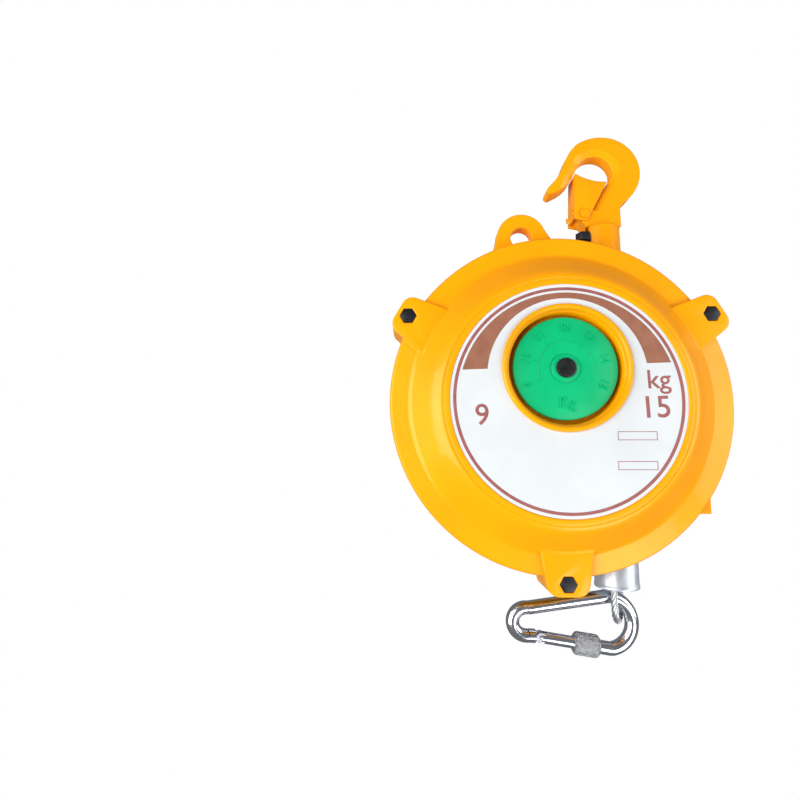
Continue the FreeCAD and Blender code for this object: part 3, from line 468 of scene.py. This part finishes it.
scale_marks = [scale_line]
for kilos in range(9, 16):
    angle = math.radians(90 - (kilos - 12) * KG_STEP)
    cos, sin = math.cos(angle), math.sin(angle)
    bpy.ops.mesh.primitive_cube_add(
        size=1, location=case_point(WELL[0] + 16 * cos, WELL[1] + 16 * sin, DIAL_FACE),
        rotation=(0, -angle, 0), scale=(3 * MM, 0.4 * MM, 0.8 * MM))
    scale_marks.append(settle("tick_%d" % kilos))
    scale_marks.append(writing("figure_%d" % kilos, str(kilos), WELL[0] + FIGURE_RADIUS * cos,
                               WELL[1] + FIGURE_RADIUS * sin, DIAL_FACE, 4.2, RAISED,
                               math.degrees(angle) - 90))
scale_marks.append(writing("figure_kg", "Kg", WELL[0], WELL[1] - 19, DIAL_FACE, 6, RAISED))
fit(join("tension_dial", face, *scale_marks), green, "dial", "green_plastic", "dial")

screw = turn("dial_screw", [(2.9, 44), (2.9, 52.7), (5.1, 52.7), (5.35, 52.95), (5.35, 53.9),
                            (5.0, 54.35), (4.2, 54.5)], WELL, 64)
bpy.ops.mesh.primitive_cube_add(size=1, location=case_point(*WELL, 54.6),
                                scale=(12 * MM, 2 * MM, 1.3 * MM))
cut(screw, settle("screw_slot"))
fit(rounded(screw, 0.12, 2), oxide, "case", "black_steel", "dial_pivot")


# ---------------------------------------------------------------- hook and latch
# The forged hook with the broad chamfer that runs round its bowl and down the shank, and its
# bent-up sheet latch on a riveted pin. Both are enamelled with the case, and so is the collar.

BOWL = Vector((-4 * MM, 0, -12 * MM))
HALF_THICK, CHAMFER_DEEP, CHAMFER_WIDE = 6 * MM, 1.7 * MM, 4.4 * MM
SHOULDER, TIP = (-18.1, 13.2), (-30.9, -9.8)


def copy_of(node, name):
    """A CAD piece's shape with its doubles merged and its flat faces made whole."""
    active(nodes[node])
    bpy.ops.object.duplicate(linked=False)
    piece = bpy.context.object
    piece.name = name
    del piece["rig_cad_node"]
    outward(piece)
    bpy.ops.object.mode_set(mode="EDIT")
    bpy.ops.mesh.select_all(action="SELECT")
    bpy.ops.mesh.dissolve_limited(angle_limit=math.radians(0.5))
    bpy.ops.object.mode_set(mode="OBJECT")
    return piece


def chamfer_shift(x, z):
    """How a point of the inner contour, x and z mm from the bowl's middle, moves on the flat."""
    arm_middle = -19.5 + (z + 2) * (0.4 if z > -2 else 0.9)
    on_arm = max(-25, arm_middle) < x < -11.5 and z < 3.2
    on_bowl = math.hypot(x, z) < 14
    on_shank = -2.5 < x < 9.5 and -25 < z < -5
    if on_arm:
        lean, fading = math.radians(165 + 3.75 * (x + 11.6)), min(1, (x + 25) / 8)
        return Vector((math.cos(lean), 0, math.sin(lean))) * CHAMFER_WIDE * fading
    if on_bowl:
        return Vector((x, 0, z)).normalized() * CHAMFER_WIDE
    if on_shank:
        return Vector((0.86, 0, -0.5)) * CHAMFER_WIDE
    return Vector()


dress(enamel, "swivel_collar", "latch_pivot")
dress(oxide, "stem_nut")

hook = copy_of("top_hook", "hook")
hook.data.transform(Matrix.Diagonal((1, 1 - CHAMFER_DEEP / HALF_THICK, 1, 1)))
active(hook)
bpy.ops.object.mode_set(mode="EDIT")
bpy.ops.mesh.select_mode(type="FACE")
for side in (-1, 1):
    mesh = bmesh.from_edit_mesh(hook.data)
    for face in mesh.faces:
        face.select = face.normal.y * side > 0.99
    bmesh.update_edit_mesh(hook.data)
    bpy.ops.mesh.extrude_region_move(
        TRANSFORM_OT_translate={"value": (0, side * CHAMFER_DEEP, 0)})
mesh = bmesh.from_edit_mesh(hook.data)
for vertex in mesh.verts:
    away = (vertex.co - BOWL) / MM
    if abs(abs(vertex.co.y) - HALF_THICK) < 0.01 * MM:
        vertex.co += chamfer_shift(away.x, away.z)
bpy.ops.mesh.select_mode(type="VERT")
for corner, near, times in ((SHOULDER, 9, 60), (TIP, 4, 6)):
    for vertex in mesh.verts:
        away = (vertex.co - BOWL) / MM
        outside = math.hypot(away.x, away.z) > 20
        vertex.select = outside and math.dist((away.x, away.z), corner) < near
    mesh.select_flush_mode()
    bmesh.update_edit_mesh(hook.data)
    bpy.ops.mesh.vertices_smooth(factor=0.5, repeat=times, yaxis=False)
    mesh = bmesh.from_edit_mesh(hook.data)
bpy.ops.object.mode_set(mode="OBJECT")
fit(rounded(outward(hook), 0.6, 3, 30, 14), enamel, "hook", "yellow_paint", "top_hook")

latch_plate = copy_of("latch", "latch_plate")
bpy.ops.object.mode_set(mode="EDIT")
mesh = bmesh.from_edit_mesh(latch_plate.data)
for vertex in mesh.verts:
    away = (vertex.co - BOWL) / MM
    vertex.select = abs(away.z + 24) < 0.2 and away.x < -13
mesh.select_flush_mode()
bmesh.update_edit_mesh(latch_plate.data)
bpy.ops.transform.translate(value=(0, 0, -7 * MM))
bpy.ops.object.mode_set(mode="OBJECT")
fit(rounded(latch_plate, 0.35, 2, 30, 32), enamel, "latch", "yellow_paint", "latch")


# ---------------------------------------------------------------- rope
# A 4 mm galvanised steel rope of six strands. It lies in the drum's spiral groove, runs down
# to the ferrule, and makes the loop that carries the carabiner at the bottom.

STRANDS, STRAND, STRAND_CIRCLE, LAY = 6, 0.66 * MM, 1.33 * MM, 22 * MM
TURNS, FIRST_TURN, FIRST_RISE = 5, 42, 3.1
WIDER, HIGHER = 4, 2
EYE_BEND, EYE_LOW = 8.7, 287


def line_of(name, points):
    """A path through points, which the rope is laid along."""
    data = bpy.data.curves.new(name, "CURVE")
    data.dimensions = "3D"
    data.twist_mode = "MINIMUM"
    spline = data.splines.new("POLY")
    spline.points.add(len(points) - 1)
    for point, place in zip(spline.points, points):
        point.co = (*place, 1)
    path = bpy.data.objects.new(name, data)
    bpy.context.collection.objects.link(path)
    return path


def stranded(name, points, steps=14, sides=6):
    """Six strands twisted round each other, laid along a path and open at both ends."""
    strands = []
    for number in range(STRANDS):
        angle = math.tau * number / STRANDS
        bpy.ops.mesh.primitive_circle_add(
            vertices=sides, radius=STRAND, fill_type="NOTHING",
            location=(0, STRAND_CIRCLE * math.cos(angle), STRAND_CIRCLE * math.sin(angle)),
            rotation=(0, math.pi / 2, 0))
        strands.append(settle("strand"))
    rope = join(name, *strands)
    active(rope)
    twist = rope.modifiers.new("twist", "SCREW")
    twist.axis = "X"
    twist.angle = math.tau
    twist.screw_offset = LAY
    twist.steps = twist.render_steps = steps
    path = line_of(name + "_path", points)
    row = rope.modifiers.new("row", "ARRAY")
    row.fit_type = "FIT_CURVE"
    row.curve = path
    row.use_relative_offset = False
    row.use_constant_offset = True
    row.constant_offset_displace = (LAY, 0, 0)
    row.use_merge_vertices = True
    row.merge_threshold = 0.02 * MM
    bend = rope.modifiers.new("along", "CURVE")
    bend.object = path
    bend.deform_axis = "POS_X"
    for modifier in ("twist", "row", "along"):
        bpy.ops.object.modifier_apply(modifier=modifier)
    bpy.data.objects.remove(path)
    outward(rope)
    bpy.ops.object.shade_smooth_by_angle(angle=math.radians(80))
    return rope


def groove(half_turns):
    """Where the groove crosses the level plane of the drum's axis: across, and its height."""
    across = (FIRST_TURN + WIDER * half_turns) * (-1) ** half_turns
    return across, FIRST_RISE + HIGHER * half_turns if half_turns else 0


rope_steel, shader = finish_of("rope_steel", Metallic=1.0)
mottle(rope_steel, shader, "Base Color", 900, (0.44, 0.46, 0.48), (0.72, 0.73, 0.75))
mottle(rope_steel, shader, "Roughness", 500, 0.25, 0.42)

coil_path = []
for half_turn in range(2 * TURNS):
    (start_x, start_height), (end_x, end_height) = groove(half_turn), groove(half_turn + 1)
    middle_x, radius = (start_x + end_x) / 2, (start_x - end_x) / 2
    for step in range(30):
        angle = math.radians(6 * step)
        coil_path.append(case_point(
            middle_x + radius * math.cos(angle), radius * math.sin(angle),
            start_height + (end_height - start_height) * (1 - math.cos(angle)) / 2))
fit(stranded("rope_on_drum", coil_path), rope_steel, "drum", "steel_rope", "rope_coil")

run = stranded("stranded_run", [Vector((0, 0, -z * MM)) for z in (167, 254)], 24)
fit(run, rope_steel, None, "steel_rope", "rope_run")
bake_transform(run)

bend_points = [(EYE_BEND * math.cos(math.radians(a)), EYE_LOW + EYE_BEND * math.sin(math.radians(a)))
               for a in range(10, 180, 10)]
leg = [274, 277, 280, 284, EYE_LOW]
eye_path = ([(EYE_BEND, drop) for drop in leg] + bend_points
            + [(-EYE_BEND, drop) for drop in reversed(leg)])
eye_turn = Matrix.Rotation(math.radians(58), 4, "Z")
fit(stranded("stranded_eye", [eye_turn @ Vector((along * MM, 0, -drop * MM))
                              for along, drop in eye_path], 24, 8),
    rope_steel, "rope_end", "steel_rope", "rope_eye")


# ---------------------------------------------------------------- ferrule and stop
# The aluminium sleeve that is pressed on the rope's end, brushed along its length, and the
# black rubber stop above it, which softens the blow when the rope runs in.

UPRIGHT = Matrix.Identity(4)

brushed, shader = finish_of("brushed_aluminium", Metallic=0.6)
mottle(brushed, shader, "Base Color", 100, (0.51, 0.57, 0.65), (0.63, 0.69, 0.76))
mottle(brushed, shader, "Roughness", 200, 0.3, 0.45)
grain(brushed, shader, 300, 0.00004, 3, (1, 1, 12))
sleeve = turn("pressed_ferrule", [
    (2, -276), (12.5, -276), (12.9, -275.8), (13, -275.4), (13, -274.2), (12.8, -273.8),
    (12.7, -273.2), (12.7, -254.8), (12.4, -254.2), (12, -254), (2, -254)], lie=UPRIGHT)
fit(rounded(sleeve, 0.1, 1, 60, 32), brushed, "rope_end", "zinc_steel", "ferrule")

rubber, shader = finish_of("black_rubber")
mottle(rubber, shader, "Base Color", 90, (0.008, 0.008, 0.009), (0.018, 0.018, 0.019))
mottle(rubber, shader, "Roughness", 120, 0.5, 0.7)
grain(rubber, shader, 600, 0.00006)
stop = turn("rubber_stop", [
    (2, -254), (14.2, -254), (14.9, -253.8), (15.3, -253.2), (15.5, -252.2), (15.75, -242),
    (16, -231), (15.9, -230), (15.4, -229.3), (14.6, -229), (2, -229)], lie=UPRIGHT)
fit(rounded(stop, 0.1, 1, 60, 32), rubber, "rope_end", "black_rubber", "bumper")


# ---------------------------------------------------------------- carabiner
# The pear-shaped hook of bright zinc-plated wire with its sprung gate, and the knurled steel
# sleeve that screws over the gate's free end. The knurl is a crossed pattern rolled on it.

BARREL, SLEEVE_LENGTH = 6.6, 14.5

zinc, shader = finish_of("bright_zinc", Metallic=1.0)
mottle(zinc, shader, "Base Color", 90, (0.60, 0.63, 0.70), (0.72, 0.74, 0.79))
mottle(zinc, shader, "Roughness", 200, 0.10, 0.2)
grain(zinc, shader, 500, 0.00002)
dress(zinc, "carabiner", "gate", "gate_pin")

knurl = turn("knurled_sleeve", [
    (3, 0), (5.2, 0), (5.6, 0.1), (6.3, 0.8), (6.3, 1.1), (BARREL, 1.4), (BARREL, 13.1),
    (6.3, 13.4), (6.3, 13.7), (5.6, 14.4), (5.2, SLEEVE_LENGTH), (3, SLEEVE_LENGTH)],
    lie=UPRIGHT, sides=96)
cut(knurl, turn("sleeve_bore", [(4.15, -2), (4.15, 17)], lie=UPRIGHT))
wrap = knurl.data.uv_layers.new(name="wrap")
for face in knurl.data.polygons:
    middle = math.atan2(face.center.y, face.center.x)
    for loop in face.loop_indices:
        place = knurl.data.vertices[knurl.data.loops[loop].vertex_index].co
        angle = math.atan2(place.y, place.x)
        angle += math.tau * round((middle - angle) / math.tau)
        wrap.data[loop].uv = (angle * BARREL * MM, place.z)
low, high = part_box("screw_sleeve")
along_gate = Vector(joints["sleeve_screw"]["axis"]).to_track_quat("Z", "Y").to_matrix().to_4x4()
knurl.data.transform(Matrix.Translation((low + high) / 2) @ along_gate
                     @ Matrix.Translation((0, 0, -SLEEVE_LENGTH / 2 * MM)))

knurled, shader = finish_of("knurled_zinc", Metallic=1.0)
mottle(knurled, shader, "Base Color", 200, (0.46, 0.48, 0.52), (0.60, 0.62, 0.66))
mottle(knurled, shader, "Roughness", 300, 0.22, 0.34)
place = add_node(knurled, "ShaderNodeTexCoord")
crossed = add_node(knurled, "ShaderNodeMath", operation="MINIMUM")
for number, degrees in enumerate((45, -45)):
    leaned = add_node(knurled, "ShaderNodeMapping", {"Rotation": (0, 0, math.radians(degrees))})
    ridges = add_node(knurled, "ShaderNodeTexWave", {"Scale": 260.0})
    wire(knurled, (place, "UV"), (leaned, "Vector"))
    wire(knurled, (leaned, "Vector"), (ridges, "Vector"))
    knurled.node_tree.links.new(ridges.outputs["Fac"], crossed.inputs[number])
rolled = add_node(knurled, "ShaderNodeBump", {"Strength": 1.0, "Distance": 0.12 * MM})
wire(knurled, (crossed, "Value"), (rolled, "Height"))
wire(knurled, (rolled, "Normal"), (shader, "Normal"))
fit(rounded(knurl, 0.08, 1, 50, 40), knurled, "gate_sleeve", "zinc_steel", "screw_sleeve")


# ---------------------------------------------------------------- small fittings
# The bolts, the axle, the lock's bush, pin and T bar, and the rope's guide and anchor. They are
# turned or moulded, their corners are broken, and they keep the shapes of their solids.

nylon, shader = finish_of("black_nylon")
mottle(nylon, shader, "Base Color", 200, (0.010, 0.010, 0.011), (0.02, 0.02, 0.022))
mottle(nylon, shader, "Roughness", 160, 0.38, 0.55)
grain(nylon, shader, 900, 0.00004)
dress(oxide, "lock_bar")

for node, name, finish, body, slot, width in (
        ("cover_bolts", "bolts", oxide, "case", "black_steel", 0.5),
        ("main_axle", "axle", oxide, "case", "black_steel", 0.5),
        ("lock_pin", "pull_pin", oxide, "lock_handle", "black_steel", 0.5),
        ("lock_bushing", "castle_bush", enamel, "case", "yellow_paint", 0.6),
        ("bar_tips", "bar_tip_caps", nylon, "lock_handle", "black_plastic", 0.7),
        ("rope_guide", "guide_block", nylon, "case", "black_plastic", 0.6),
        ("rope_anchor", "anchor_block", nylon, "drum", "black_plastic", 0.5),
        ("adjusting_nut", "worm_head", oxide, "worm", "black_steel", 0.4)):
    fit(rounded(copy_of(node, name), width, 3, 30, 32), finish, body, slot, node)


# ---------------------------------------------------------------- studio
# A white surround, as behind a cut-out product, a large soft light from the upper left, and
# weaker ones from the right and from behind. The camera stands close, a little below the dial.

surround = bpy.data.worlds.new("white_surround")
bpy.context.scene.world = surround
surround.use_nodes = True
dim_sky = surround.node_tree.nodes["Background"]
dim_sky.inputs["Strength"].default_value = 0.2
backdrop = add_node(surround, "ShaderNodeBackground", {"Strength": 1.0})
seen = add_node(surround, "ShaderNodeLightPath")
either = add_node(surround, "ShaderNodeMixShader")
for number, whiteness in enumerate((dim_sky, backdrop), start=1):
    whiteness.inputs["Color"].default_value = (1, 1, 1, 1)
    surround.node_tree.links.new(whiteness.outputs["Background"], either.inputs[number])
wire(surround, (seen, "Is Camera Ray"), (either, "Fac"))
wire(surround, (either, "Shader"), (surround.node_tree.nodes["World Output"], "Surface"))


def soft_light(name, place, size, watts):
    """A square soft box that faces the middle of the case."""
    bpy.ops.object.light_add(type="AREA", location=place)
    lamp = bpy.context.object
    lamp.name = name
    lamp.data.size = size
    lamp.data.energy = watts
    lamp.rotation_euler = (case_point(0, 0, 0) - Vector(place)).to_track_quat("-Z", "Y").to_euler()
    return lamp


soft_light("key_light", (-1.0, -0.75, -0.2), 1.1, 22)
soft_light("side_light", (0.95, -0.6, -0.1), 0.7, 6)
soft_light("front_light", (0.45, -0.8, -0.8), 0.6, 6)
soft_light("back_light", (0.7, 0.9, 0.35), 1.2, 18).visible_glossy = False

bpy.ops.object.camera_add(location=(-0.1239, -0.3188, -0.197),
                          rotation=(math.radians(96.4), 0, math.radians(1.49)))
camera = bpy.context.object
camera.data.sensor_width = 36
camera.data.lens = 22.5
camera.data.clip_start = 10 * MM
bpy.context.scene.camera = camera
bpy.context.scene.view_settings.view_transform = "Standard"
